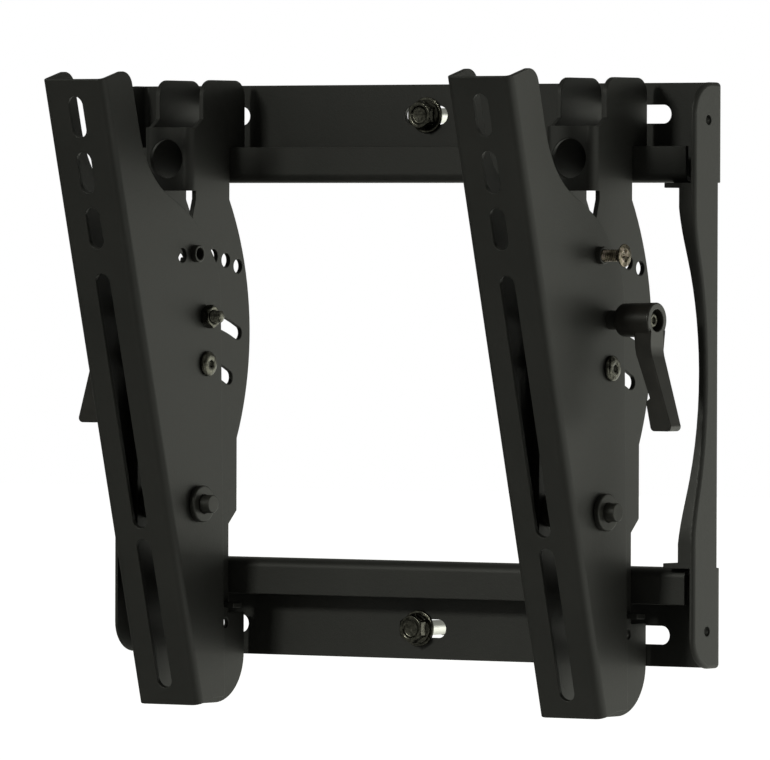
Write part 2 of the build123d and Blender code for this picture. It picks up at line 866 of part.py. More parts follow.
def lever_screw(centre_x, side):
    """Retaining screw in the end of the insert, its head deep in the handle's well."""
    seat = lever_seat(centre_x, side).offset(
        insert_collar_length + insert_tooth_length + insert_neck_length
    )
    with BuildPart() as screw:
        with BuildSketch(seat):
            Circle(lever_screw_head_radius)
        extrude(amount=lever_screw_head_height)
        head_rim = screw.edges().filter_by(GeomType.CIRCLE).sort_by(Axis.X)
        fillet(head_rim[-1 if side > 0 else 0], lever_screw_head_round)
        with BuildSketch(seat):
            Circle(lever_screw_radius)
        extrude(amount=-lever_screw_length)
        with BuildSketch(seat.offset(lever_screw_head_height)):
            RegularPolygon(lever_screw_flats / 2, 6, major_radius=False)
        extrude(amount=-lever_screw_socket_depth, mode=Mode.SUBTRACT)
    return screw.part


def lever_spring(centre_x, side):
    """Compression spring between the handle's shoulder and the retaining screw's head."""
    teeth_end = insert_collar_length + insert_tooth_length
    bottom = teeth_end + handle_gap + handle_shoulder
    length = teeth_end + insert_neck_length - bottom
    seat = lever_seat(centre_x, side).offset(bottom)
    coil_radius = (insert_neck_radius + tooth_gap + handle_well_radius) / 2
    pitch = (length - spring_wire) / spring_turns
    with BuildPart() as spring:
        with BuildLine():
            coil = Helix(
                pitch,
                pitch * spring_turns,
                coil_radius,
                center=seat.offset(spring_wire / 2).origin,
                direction=seat.z_dir,
            )
        with BuildSketch(Plane(origin=coil @ 0, z_dir=coil % 0)):
            Circle(spring_wire / 2)
        sweep(path=coil)
    return spring.part


for name, side in sides.items():
    x = side * upright_x
    save(hook_bracket(x), f"{name}_hook_bracket")
    save(pivot_pin(x), f"{name}_pivot_pin")
    save(pivot_caps(x), f"{name}_pivot_caps")
    save(pivot_sleeve(x), f"{name}_pivot_sleeve")
    save(screen_bracket(x, side), f"{name}_screen_bracket")
    save(guide_spacer(x), f"{name}_guide_spacer")
    save(guide_screws(x), f"{name}_guide_screws")
    save(lock_bolt(x, side), f"{name}_lock_bolt")
    save(lock_nut(x, side), f"{name}_lock_nut")
    save(clinch_nuts(x), f"{name}_clinch_nuts")
    save(safety_screw(x, side), f"{name}_safety_screw")
    save(lever_insert(x, side), f"{name}_lever_insert")
    save(lever_handle(x, side), f"{name}_lever_handle")
    save(lever_screw(x, side), f"{name}_lever_screw")
    save(lever_spring(x, side), f"{name}_lever_spring")
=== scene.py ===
import json
from math import cos, pi, radians, sin

import bmesh
import bpy
import numpy as np
from mathutils import Matrix, Vector


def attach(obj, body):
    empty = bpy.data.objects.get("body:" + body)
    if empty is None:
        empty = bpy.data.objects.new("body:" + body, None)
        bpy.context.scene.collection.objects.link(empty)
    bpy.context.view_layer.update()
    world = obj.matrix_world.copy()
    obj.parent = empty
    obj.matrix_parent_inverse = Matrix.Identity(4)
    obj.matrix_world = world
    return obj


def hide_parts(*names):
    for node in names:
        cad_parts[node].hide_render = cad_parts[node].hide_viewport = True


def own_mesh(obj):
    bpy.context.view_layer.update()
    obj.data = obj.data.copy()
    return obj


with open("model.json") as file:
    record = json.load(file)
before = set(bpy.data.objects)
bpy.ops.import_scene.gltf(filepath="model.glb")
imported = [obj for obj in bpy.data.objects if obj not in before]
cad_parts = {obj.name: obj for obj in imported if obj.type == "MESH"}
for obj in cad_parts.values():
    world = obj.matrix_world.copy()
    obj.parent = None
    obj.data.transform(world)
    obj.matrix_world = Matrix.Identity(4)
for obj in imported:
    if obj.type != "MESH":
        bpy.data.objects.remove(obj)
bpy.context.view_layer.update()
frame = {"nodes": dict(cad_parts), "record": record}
nodes = frame["nodes"]
record = frame["record"]

# Lengths are in metres, in the part's own frame: X along the wall, +Y into the wall, +Z up
MM = 0.001
X, Y, Z = range(3)
UP = np.array((0.0, 0.0, 1.0))
OUT_OF_WALL = np.array((0.0, -1.0, 0.0))
SIDES = {"right": 1, "left": -1}

# Camera: a long lens, well to the right of the bracket and almost level with it
CAMERA_PLACE = Vector((2.8127, -4.1384, 0.0661))
CAMERA_YAW = radians(34.443)
CAMERA_PITCH = radians(-0.803)
CAMERA_ROLL = radians(0.177)
CAMERA_FOCAL_PIXELS = 10268.0
CAMERA_REACH = 30.0
PHOTO_WIDTH_PIXELS = 770
SENSOR_WIDTH_MM = 36.0

# Studio: dim in front, brighter behind and to the right of the bracket, a pale floor well below
BRIGHT_SIDE = Vector((0.62, 0.78, -0.05)).normalized()
STUDIO_TINT = (0.98, 1.0, 0.89, 1)
WHITE = (1, 1, 1, 1)
FRONT_LEVEL = 0.13
BACK_LEVEL = 0.24
FLOOR_LEVEL = 1.2
FLOOR_GLOW = 0.92
FLOOR_HEIGHT = -0.42
FLOOR_HALF = 12.0

# Where the light changes over: by the cosine from the bright side, and on the floor by metres towards it
WRAP_ENDS = (-0.35, 0.75)
BOUNCE_ENDS = (-0.2, 0.8)

# Soft boxes: place, aim and size in metres, power in watts, the beam's spread in degrees
LAMPS = {
    "key_box": {
        "place": (-0.5, -2.1, 0.8),
        "aim": (0, 0, -0.5),
        "width": 0.3,
        "height": 0.3,
        "power": 1.4,
        "spread": 44,
    },
    "front_box": {
        "place": (-1.35, -1.95, 0.6),
        "aim": (0, 0, 0),
        "width": 2.6,
        "height": 1.9,
        "power": 2.5,
        "spread": 180,
    },
    "back_box": {
        "place": (1.7, 2.2, -0.2),
        "aim": (0, 0, 0),
        "width": 1.6,
        "height": 1.6,
        "power": 6,
        "spread": 180,
    },
}

# Rounded edges of the folded sheets, cast handles and toothed inserts, and what counts as sharp
SHEET_EDGE = 0.35 * MM
CAST_EDGE = 0.55 * MM
TURNED_EDGE = 0.25 * MM
SHARP_ANGLE = radians(32)

# Points closer than this are one: on a copy of a CAD mesh, and at the poles and seams of a grid
MERGE_DISTANCE = 0.004 * MM
POLE_DISTANCE = 0.001 * MM

# Grids: points round each ring, rows to an eased corner, a dome, and one turn of a thread or a spring
AROUND = 96
ANGLES = np.linspace(0, 2 * pi, AROUND, endpoint=False)
EASE_STEPS = 4
DOME_STEPS = 12
THREAD_STEPS = 12
SPRING_STEPS = 48

# Eased corners of turned pieces, and the most of a run that one may take
BORE_EASE = 0.3 * MM
RIM_EASE = 0.5 * MM
CAP_EASE = 0.8 * MM
EASE_SHARE = 0.45

# Hexagons: the radius of the end face and the height of its cone, as shares of half the flats
HEX_FACE_SHARE = 0.97
HEX_CONE_SHARE = 0.11
HEX_CONE_ANGLE = radians(30)

# Wall plate, its screws and their washers
PLATE_THICKNESS = 2.5 * MM
LAG_FLATS = 12.4 * MM
LAG_TOP = 0.96 * LAG_FLATS / 2
LAG_NECK = 0.54 * LAG_FLATS
LAG_FLANGE_RIM = 0.98 * MM
LAG_FLANGE_TOP = 1.82 * MM
LAG_DISH = 4.6 * MM
LAG_DISH_FLOOR = 0.86 * LAG_DISH
LAG_DISH_DEPTH = 1.0 * MM
LAG_SHANK = 3.6 * MM
LAG_PLAIN = 22.0 * MM
LAG_PITCH = 3.4 * MM
LAG_THREAD_DEPTH = 1.0 * MM
LAG_CREST = LAG_SHANK + LAG_THREAD_DEPTH / 3
LAG_POINT = 8.0 * MM
LAG_BORE = 4.2 * MM

# Tips of the threads: the taper's length on a machine screw, and the share of the radius at any tip
MACHINE_POINT = 0.6 * MM
TIP_SHARE = 0.3

# Clamping stud and its nut
LOCK_FLATS = 10.0 * MM
LOCK_MOUTH = 0.6 * MM
LOCK_PITCH = 1.0 * MM
LOCK_THREAD_DEPTH = 0.5 * MM
LOCK_THREAD_LENGTH = 10.0 * MM

# Button-head screws of the guides and the levers
BUTTON_RIM = 0.8 * MM
BUTTON_SOCKET_DEPTH = 1.7 * MM
BUTTON_LIP_SHARE = 1.08
GUIDE_SHANK = 2.0 * MM
GUIDE_CROWN = 3.2 * MM
GUIDE_SOCKET = 3.4 * MM
LEVER_SCREW_SHANK = 1.6 * MM
LEVER_SCREW_LENGTH = 6.0 * MM
LEVER_SCREW_CROWN_SHARE = 0.55
LEVER_SCREW_SOCKET = 3.0 * MM

# Safety screw, its cross and its bosses
SAFETY_SHANK = 2.9 * MM
SAFETY_PITCH = 1.0 * MM
SAFETY_THREAD_DEPTH = 0.45 * MM
SAFETY_HEAD = 3.6 * MM
SAFETY_RIM = 0.5 * MM
SAFETY_CROWN = 0.4 * MM
SAFETY_TOP_SHARE = 0.62
SAFETY_MOUTH_SHARE = 0.6
CROSS_LENGTH = 6.2 * MM
CROSS_WIDTH = 1.5 * MM
CROSS_DEPTH = 1.8 * MM
CROSS_FLOOR_LENGTH = 0.7 * CROSS_LENGTH
CROSS_FLOOR_WIDTH = 0.8 * CROSS_WIDTH
CLINCH_SHANK = 3.6 * MM

# Lever spring and tilt pin
SPRING_WIRE = 0.8 * MM
SPRING_TURNS = 4
SPRING_SIDES = 16
PIN_RADIUS = 5.0 * MM
PIN_STUB_RADIUS = 4.4 * MM


class Wire:
    """A shader socket. Arithmetic on it adds Math nodes, and node() adds any other node."""

    def __init__(self, tree, socket=None):
        self.tree = tree
        self.socket = socket

    def node(self, kind, settings=None, inputs=None, out=0):
        """Adds a node: its settings first, then the values or links of its sockets."""
        made = self.tree.nodes.new(kind)
        for name, value in (settings or {}).items():
            if name == "stops":
                self.set_stops(made.color_ramp, value)
            else:
                setattr(made, name, value)
        for name, value in (inputs or {}).items():
            if isinstance(value, Wire):
                self.tree.links.new(value.socket, made.inputs[name])
            else:
                made.inputs[name].default_value = value
        return Wire(self.tree, made.outputs[out] if made.outputs else None)

    @staticmethod
    def set_stops(ramp, stops):
        """Gives a colour ramp its list of (place, colour) stops."""
        while len(ramp.elements) < len(stops):
            ramp.elements.new(0.5)
        for element, (place, colour) in zip(ramp.elements, stops):
            element.position = place
            element.color = colour

    def math(self, operation, first, second):
        """Adds a Math node on two values."""
        return self.node("ShaderNodeMath", {"operation": operation}, {0: first, 1: second})

    def __add__(self, other):
        return self.math("ADD", self, other)

    def __radd__(self, other):
        return self.math("ADD", other, self)

    def __sub__(self, other):
        return self.math("SUBTRACT", self, other)

    def __rsub__(self, other):
        return self.math("SUBTRACT", other, self)

    def __mul__(self, other):
        return self.math("MULTIPLY", self, other)

    def __rmul__(self, other):
        return self.math("MULTIPLY", other, self)

    def mix(self, low, high):
        """Colour between low and high, with this socket as the factor.

        A Mix node has sockets for each kind of data: colours go in at 6 and 7 and come out at 2.
        """
        return self.node("ShaderNodeMix", {"data_type": "RGBA"}, {0: self, 6: low, 7: high}, out=2)

    def band(self, low, high):
        """Runs smoothly from 0 to 1 as this socket goes from low to high."""
        values = {"Value": self, "From Min": low, "From Max": high}
        return self.node("ShaderNodeMapRange", {"interpolation_type": "SMOOTHSTEP"}, values)

    def towards(self, direction):
        """How far this vector reaches in a direction: their dot product."""
        pair = {0: self, 1: direction}
        return self.node("ShaderNodeVectorMath", {"operation": "DOT_PRODUCT"}, pair, out="Value")

    def apart(self, lit, seen):
        """Shader that lights the object as one shader and that the camera sees as the other."""
        ray = self.node("ShaderNodeLightPath", out="Is Camera Ray")
        return self.node("ShaderNodeMixShader", None, {0: ray, 1: lit, 2: seen})


# Finishes


def start_material(name):
    """An empty material, the wire that adds its nodes, and its Object coordinates."""
    material = bpy.data.materials.new(name)
    material.use_nodes = True
    material.node_tree.nodes.clear()
    sheet = Wire(material.node_tree)
    return material, sheet, sheet.node("ShaderNodeTexCoord", out="Object")


def noise(sheet, coords, size, detail=2.0, roughness=0.5):
    """Noise with blobs of about the given size, from 0 to 1."""
    values = {"Vector": coords, "Scale": 1 / size, "Detail": detail, "Roughness": roughness}
    return sheet.node("ShaderNodeTexNoise", None, values, out="Fac")


def close_material(sheet, shader_inputs, height, depth, strength):
    """Ends a material in one Principled shader, with a bump of the given depth."""
    bump = {"Height": height, "Distance": depth, "Strength": strength}
    normal = sheet.node("ShaderNodeBump", None, bump)
    shader = sheet.node("ShaderNodeBsdfPrincipled", None, {**shader_inputs, "Normal": normal})
    sheet.node("ShaderNodeOutputMaterial", None, {"Surface": shader})


def black_coat():
    """Satin black powder coat: fine orange-peel grain over slow changes of tone and gloss."""
    material, sheet, coords = start_material("black_coat")
    dark = (0.0155, 0.0155, 0.0142, 1)
    pale = (0.0200, 0.0198, 0.0182, 1)
    grain = noise(sheet, coords, 0.8 * MM, detail=3.0, roughness=0.6)
    peel = noise(sheet, coords, 1.9 * MM)
    cloud = noise(sheet, coords, 45 * MM, detail=3.0)
    close_material(
        sheet,
        {
            "Base Color": cloud.band(low=0.3, high=0.7).mix(dark, pale),
            "Roughness": 0.42 + 0.10 * grain + 0.06 * cloud,
            "IOR": 1.5,
        },
        height=0.6 * grain + 0.4 * peel,
        depth=0.12 * MM,
        strength=0.7,
    )
    return material


def black_oxide():
    """Oiled black oxide on steel: dark and satin, with faint blotches and fine scratches."""
    material, sheet, coords = start_material("black_oxide")
    dark = (0.020, 0.020, 0.018, 1)
    pale = (0.034, 0.033, 0.029, 1)
    blotch = noise(sheet, coords, 3.0 * MM, detail=4.0, roughness=0.65)
    scratch = noise(sheet, coords, 0.35 * MM)
    close_material(
        sheet,
        {
            "Base Color": blotch.band(low=0.35, high=0.7).mix(dark, pale),
            "Metallic": 0.15,
            "Roughness": 0.34 + 0.14 * blotch + 0.08 * scratch,
        },
        height=scratch,
        depth=0.012 * MM,
        strength=0.5,
    )
    return material


def dark_zinc():
    """Black zinc plate: glossy dark metal with olive blotches. Behind the plate's front it is bare zinc."""
    material, sheet, coords = start_material("dark_zinc")
    dark = (0.035, 0.034, 0.029, 1)
    olive = (0.16, 0.156, 0.132, 1)
    bright = (0.80, 0.80, 0.78, 1)
    blotch = noise(sheet, coords, 1.6 * MM, detail=4.0, roughness=0.65)
    scratch = noise(sheet, coords, 0.3 * MM)
    plated = blotch.band(low=0.3, high=0.7).mix(dark, olive)
    into_wall = sheet.node("ShaderNodeSeparateXYZ", None, {"Vector": coords}, out="Y")
    bare = into_wall.band(-PLATE_THICKNESS - TURNED_EDGE, -PLATE_THICKNESS + TURNED_EDGE)
    close_material(
        sheet,
        {
            "Base Color": bare.mix(plated, bright),
            "Metallic": 1.0,
            "Roughness": 0.16 + 0.18 * blotch + 0.1 * bare,
        },
        height=scratch,
        depth=0.012 * MM,
        strength=0.6,
    )
    return material


def zinc_plate():
    """Passivated zinc gone brown with handling: warm grey metal with cloudy patches."""
    material, sheet, coords = start_material("zinc_plate")
    brown = (0.06, 0.048, 0.035, 1)
    straw = (0.20, 0.175, 0.13, 1)
    rosy = (0.42, 0.34, 0.30, 1)
    patch = noise(sheet, coords, 2.6 * MM)
    pits = noise(sheet, coords, 0.3 * MM)
    stops = [(0.32, brown), (0.5, straw), (0.68, rosy)]
    close_material(
        sheet,
        {
            "Base Color": sheet.node("ShaderNodeValToRGB", {"stops": stops}, {"Fac": patch}, out="Color"),
            "Metallic": 0.95,
            "Roughness": 0.16 + 0.2 * patch,
        },
        height=pits,
        depth=0.01 * MM,
        strength=0.5,
    )
    return material


def spring_steel():
    """Oiled spring wire: mid grey metal with darker drawn streaks."""
    material, sheet, coords = start_material("spring_steel")
    dark = (0.14, 0.135, 0.13, 1)
    pale = (0.34, 0.33, 0.32, 1)
    streak = noise(sheet, coords, 0.5 * MM, detail=3.0)
    close_material(
        sheet,
        {"Base Color": streak.mix(dark, pale), "Metallic": 1.0, "Roughness": 0.25 + 0.2 * streak},
        height=streak,
        depth=0.008 * MM,
        strength=0.4,
    )
    return material


def lever_coat():
    """Black baked coat on a zinc casting: a little smoother and warmer than the sheet's coat."""
    material, sheet, coords = start_material("lever_coat")
    dark = (0.016, 0.0148, 0.0132, 1)
    pale = (0.022, 0.0202, 0.018, 1)
    peel = noise(sheet, coords, 1.1 * MM)
    grain = noise(sheet, coords, 0.4 * MM)
    cloud = noise(sheet, coords, 9 * MM)
    close_material(
        sheet,
        {
            "Base Color": cloud.band(low=0.3, high=0.7).mix(dark, pale),
            "Roughness": 0.26 + 0.10 * grain + 0.05 * cloud,
            "IOR": 1.5,
        },
        height=0.7 * peel + 0.3 * grain,
        depth=0.04 * MM,
        strength=0.5,
    )
    return material


finish_makers = (black_coat, black_oxide, dark_zinc, zinc_plate, spring_steel, lever_coat)
finishes = {make.__name__: make() for make in finish_makers}
slot_of = {row["node"]: row["material_slot"] for row in record["subparts"]}
body_of = {node: body for body, members in record["behaviour"]["bodies"].items() for node in members}


# Ways to make a piece: a CAD shape with rounded edges, or a skin over computed grids


def add_piece(node, mesh):
    """Puts a finished mesh in the scene in place of a CAD node, with that node's body and finish."""
    mesh.materials.append(finishes[slot_of[node]])
    piece = bpy.data.objects.new(f"{node}_finished", mesh)
    bpy.context.scene.collection.objects.link(piece)
    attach(piece, body_of[node])
    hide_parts(node)
    return piece


def even_shading(piece):
    """Shades flat faces flat beside eased edges, by giving large faces more say in the normals."""
    piece.data.polygons.foreach_set("use_smooth", np.ones(len(piece.data.polygons), dtype=bool))
    shading = piece.modifiers.new("even_shading", "WEIGHTED_NORMAL")
    shading.use_face_influence = True


def soften(node, edge, segments=2):
    """A copy of a CAD node with every sharp edge rounded to a radius."""
    shape = bmesh.new()
    shape.from_mesh(nodes[node].data)
    bmesh.ops.remove_doubles(shape, verts=shape.verts, dist=MERGE_DISTANCE)
    mesh = bpy.data.meshes.new(f"{node}_finished")
    shape.to_mesh(mesh)
    shape.free()
    piece = add_piece(node, mesh)
    rounding = piece.modifiers.new("rounded_edges", "BEVEL")
    rounding.limit_method = "ANGLE"
    rounding.angle_limit = SHARP_ANGLE
    rounding.width = edge
    rounding.segments = segments
    rounding.use_clamp_overlap = False
    rounding.loop_slide = False
    rounding.face_strength_mode = "FSTR_ALL"
    even_shading(piece)


def skin(node, grids):
    """A piece from grids whose rows are each a closed loop: quads join neighbouring points."""
    corners, quads, used = [], [], 0
    for grid in grids:
        rows, around = grid.shape[:2]
        index = used + np.arange(rows * around).reshape(rows, around)
        onward = np.roll(index, -1, axis=1)
        quads.append(np.stack([index[:-1], onward[:-1], onward[1:], index[1:]], axis=-1).reshape(-1, 4))
        corners.append(grid.reshape(-1, 3))
        used += rows * around
    mesh = bpy.data.meshes.new(f"{node}_finished")
    mesh.from_pydata(np.concatenate(corners).tolist(), [], np.concatenate(quads).tolist())
    shape = bmesh.new()
    shape.from_mesh(mesh)
    bmesh.ops.remove_doubles(shape, verts=shape.verts, dist=POLE_DISTANCE)
    bmesh.ops.recalc_face_normals(shape, faces=shape.faces)
    shape.to_mesh(mesh)
    shape.free()
    piece = add_piece(node, mesh)
    even_shading(piece)
    return piece


# Turned shapes: outlines round the axis, then rows along it, then the grid where it stands


def circle(radius):
    """Radius round a circle: the same at every angle."""
    return np.full(AROUND, radius)


def hexagon(flats):
    """Radius round a hexagon: half its flats over the cosine of the angle from a flat's middle."""
    return flats / 2 / np.cos(np.mod(ANGLES, pi / 3) - pi / 6)


def cross(length, width):
    """Radius round a plus sign: at each angle, the farther reach of its two crossed bars.

    A bar reaches to the nearer of its end, half its length over the cosine, and its side, half its width
    over the sine. Both are kept above zero.
    """
    least = np.finfo(float).eps
    level = np.maximum(np.abs(np.cos(ANGLES)), least)
    upright = np.maximum(np.abs(np.sin(ANGLES)), least)
    first = np.minimum(length / 2 / level, width / 2 / upright)
    second = np.minimum(width / 2 / level, length / 2 / upright)
    return np.maximum(first, second)


def turned(corners, ease):
    """Rows of a turned profile of (distance, radius) corners.

    Each inner corner becomes a parabola: (1-t)^2 a + 2t(1-t) corner + t^2 b, where a and b lie the
    ease, or under half a run, along the two runs that meet there.
    """
    points = np.array(corners, dtype=float)
    before, here, after = points[:-2], points[1:-1], points[2:]
    back, ahead = before - here, after - here
    back_run = np.linalg.norm(back, axis=1, keepdims=True)
    ahead_run = np.linalg.norm(ahead, axis=1, keepdims=True)
    cut = np.minimum(ease, EASE_SHARE * np.minimum(back_run, ahead_run))
    start, end = here + back / back_run * cut, here + ahead / ahead_run * cut
    t = np.linspace(0, 1, EASE_STEPS + 1)[:, None, None]
    arcs = (1 - t) ** 2 * start + 2 * t * (1 - t) * here + t**2 * end
    eased = np.concatenate([points[:1], arcs.transpose(1, 0, 2).reshape(-1, 2), points[-1:]])
    return eased[:, 0], np.repeat(eased[:, 1:], AROUND, axis=1)


def thread(start, end, radius, pitch, depth, point):
    """Rows of a screw thread.

    The radius less the depth times a triangle wave of distance over pitch less angle over a full turn.
    The groove fades out over the last pitch. At the start the radius grows from its tip's share to the
    whole with the square root of the distance over the point's length.
    """
    outs = np.arange(start, end, pitch / THREAD_STEPS)[:, None]
    wave = np.abs(2 * np.mod(outs / pitch - ANGLES / (2 * pi), 1) - 1)
    taper = np.clip((outs - start) / point, 0, 1) ** 0.5
    run_out = np.clip((end - outs) / pitch, 0, 1)
    return outs[:, 0], (radius - depth * run_out * wave) * (TIP_SHARE + (1 - TIP_SHARE) * taper)


def hex_prism(flats, foot, top, ease_foot):
    """Rows of a hexagonal prism with its end corners cut back.

    The radius is the smaller of the hexagon's and a cone's, which is the end face's radius plus the
    depth below that face over the tangent of the cone's angle.
    """
    steps = HEX_CONE_SHARE * flats / 2 * np.linspace(0, 1, EASE_STEPS + 1)
    outs = np.concatenate([foot + steps, (top - steps)[::-1]])
    depth = np.minimum(top - outs, outs - foot) if ease_foot else top - outs
    cone = HEX_FACE_SHARE * flats / 2 + depth / np.tan(HEX_CONE_ANGLE)
    return outs, np.minimum(hexagon(flats), cone[:, None])


def sleeve(bore, radius, length):
    """Closed profile of a tube or washer: from its bore round the outside and back to the bore."""
    return [(0, bore), (0, radius), (length, radius), (length, bore), (0, bore)]


def rings(*parts):
    """Stacks the rows of a turned shape: each part is one or more distances with their radii."""
    outs = np.concatenate([np.atleast_1d(out) for out, radii in parts])
    radii = np.concatenate([np.atleast_2d(radii) for out, radii in parts])
    return outs, radii


def button_screw(length, shank, height, radius, crown, socket):
    """Rows of a button-head screw, with its shank below zero and its head above.

    The head is a short rim, a quarter ellipse from the rim's radius up to the crown's, and a hex socket.
    """
    t = np.linspace(0, pi / 2, DOME_STEPS)
    dome = BUTTON_RIM + (height - BUTTON_RIM) * np.sin(t)
    dome_radius = crown + (radius - crown) * np.cos(t)
    floor = height - BUTTON_SOCKET_DEPTH
    return rings(
        (-length, circle(0)),
        (-length, circle(shank)),
        (0.0, circle(shank)),
        (0.0, circle(radius - BORE_EASE)),
        (BORE_EASE / 2, circle(radius)),
        (dome, np.repeat(dome_radius[:, None], AROUND, axis=1)),
        (height, BUTTON_LIP_SHARE * hexagon(socket)),
        (height - BORE_EASE / 2, hexagon(socket)),
        (floor, hexagon(socket)),
        (floor, circle(0)),
    )


def along(origin, axis, shape):
    """Grid of a turned shape: origin + distance x axis + radius x (cos angle x up + sin angle x side)."""
    outs, radii = shape
    side = np.cross(axis, UP)
    spokes = np.cos(ANGLES)[:, None] * UP + np.sin(ANGLES)[:, None] * side
    return origin + outs[:, None, None] * axis + radii[:, :, None] * spokes


def box_of(node, axis=X, sign=0):
    """Lowest and highest corner of a node, or of its half on one side of its middle along an axis."""
    data = nodes[node].data
    places = np.empty(len(data.vertices) * 3)
    data.vertices.foreach_get("co", places)
    places = places.reshape(-1, 3)
    middle = (places.min(axis=0) + places.max(axis=0)) / 2
    if sign:
        places = places[(places[:, axis] - middle[axis]) * sign > 0]
    return places.min(axis=0), places.max(axis=0)


def stand(node, sign, pair=False):
    """Where a turned piece along X stands: the foot of its axis, its direction, length and radius."""
    low, high = box_of(node, X, sign if pair else 0)
    origin = (low + high) / 2
    origin[X] = low[X] if sign > 0 else high[X]
    return origin, np.array((float(sign), 0.0, 0.0)), high[X] - low[X], (high[Y] - low[Y]) / 2


def outer_face(name, sign):
    """X of a screen bracket's outer face on one side."""
    low, high = box_of(f"{name}_screen_bracket")
    return high[X] if sign > 0 else low[X]


# The bracket's fittings


def wall_screws():
    """Hex wall screws: flanged head with a dished top, plain shank and a coarse pointed thread."""
    grids = []
    seat = box_of("lag_washers")[0][Y]
    for half in (1, -1):
        low, high = box_of("lag_screws", Z, half)
        origin = (low + high) / 2
        origin[Y] = seat
        height, tip, flange = seat - low[Y], high[Y] - seat, (high[X] - low[X]) / 2
        shank_and_flange = [
            (-LAG_PLAIN, LAG_SHANK),
            (0, LAG_SHANK),
            (0, flange),
            (LAG_FLANGE_RIM, flange),
            (LAG_FLANGE_TOP, LAG_NECK),
        ]
        dished_top = [
            (height, LAG_TOP),
            (height, LAG_DISH),
            (height - LAG_DISH_DEPTH, LAG_DISH_FLOOR),
            (height - LAG_DISH_DEPTH, 0),
        ]
        shape = rings(
            (-tip, circle(0)),
            thread(-tip, -LAG_PLAIN, LAG_CREST, LAG_PITCH, LAG_THREAD_DEPTH, LAG_POINT),
            turned(shank_and_flange, BORE_EASE),
            hex_prism(LAG_FLATS, LAG_FLANGE_TOP, height, ease_foot=False),
            turned(dished_top, RIM_EASE),
        )
        grids.append(along(origin, OUT_OF_WALL, shape))
    skin("lag_screws", grids)


def wall_washers():
    """Flat washers with eased rims: a closed profile turned about the screw's axis."""
    grids = []
    for half in (1, -1):
        low, high = box_of("lag_washers", Z, half)
        origin = (low + high) / 2
        origin[Y] = high[Y]
        profile = sleeve(LAG_BORE, (high[X] - low[X]) / 2, high[Y] - low[Y])
        grids.append(along(origin, OUT_OF_WALL, turned(profile, RIM_EASE)))
    skin("lag_washers", grids)


def tube(node, bore):
    """A plain turned tube in place of a node that lies along X."""
    origin, axis, length, radius = stand(node, 1)
    skin(node, [along(origin, axis, turned(sleeve(bore, radius, length), BORE_EASE))])


def pivot_fittings(name):
    """The tilt pin with its eased stubs, the disc on each end, and the spacer tube between the walls."""
    caps = []
    for sign in (1, -1):
        foot, out, thickness, rim = stand(f"{name}_pivot_caps", sign, pair=True)
        loop = [(0, PIN_RADIUS), (0, rim), (thickness, rim), (thickness, PIN_STUB_RADIUS), (0, PIN_RADIUS)]
        caps.append(along(foot, out, turned(loop, CAP_EASE)))
    skin(f"{name}_pivot_caps", caps)
    origin, axis, length, _ = stand(f"{name}_pivot_pin", 1)
    low, high = box_of(f"{name}_pivot_caps", X, 1)
    step = origin[X] + length - (low[X] + high[X]) / 2
    profile = [
        (0, 0),
        (0, PIN_STUB_RADIUS),
        (step, PIN_STUB_RADIUS),
        (step, PIN_RADIUS),
        (length - step, PIN_RADIUS),
        (length - step, PIN_STUB_RADIUS),
        (length, PIN_STUB_RADIUS),
        (length, 0),
    ]
    skin(f"{name}_pivot_pin", [along(origin, axis, turned(profile, RIM_EASE))])
    tube(f"{name}_pivot_sleeve", PIN_RADIUS)


def guide_fittings(name):
    """The spacer that runs in the lower arc slot and a button-head screw in each end of it."""
    tube(f"{name}_guide_spacer", GUIDE_SHANK)
    screws = []
    for sign in (1, -1):
        foot, out, length, radius = stand(f"{name}_guide_screws", sign, pair=True)
        seat = outer_face(name, sign)
        shank_length = abs(seat - foot[X])
        height = length - shank_length
        foot[X] = seat
        shape = button_screw(shank_length, GUIDE_SHANK, height, radius, GUIDE_CROWN, GUIDE_SOCKET)
        screws.append(along(foot, out, shape))
    skin(f"{name}_guide_screws", screws)


def lock_fittings(name, side):
    """The clamping stud with its thread standing out of the hex nut on the inner wall."""
    tip, out, length, radius = stand(f"{name}_lock_bolt", side)
    stud = rings(
        (0.0, circle(0)),
        thread(0, LOCK_THREAD_LENGTH, radius, LOCK_PITCH, LOCK_THREAD_DEPTH, MACHINE_POINT),
        turned([(LOCK_THREAD_LENGTH, radius), (length, radius), (length, 0)], BORE_EASE),
    )
    skin(f"{name}_lock_bolt", [along(tip, out, stud)])
    foot, inward, height, _ = stand(f"{name}_lock_nut", -side)
    nut = rings(
        (BORE_EASE, circle(radius)),
        (0.0, circle(radius + BORE_EASE)),
        hex_prism(LOCK_FLATS, 0.0, height, ease_foot=True),
        (height, circle(radius + LOCK_MOUTH)),
        (height - LOCK_MOUTH, circle(radius)),
        (BORE_EASE, circle(radius)),
    )
    skin(f"{name}_lock_nut", [along(foot, inward, nut)])


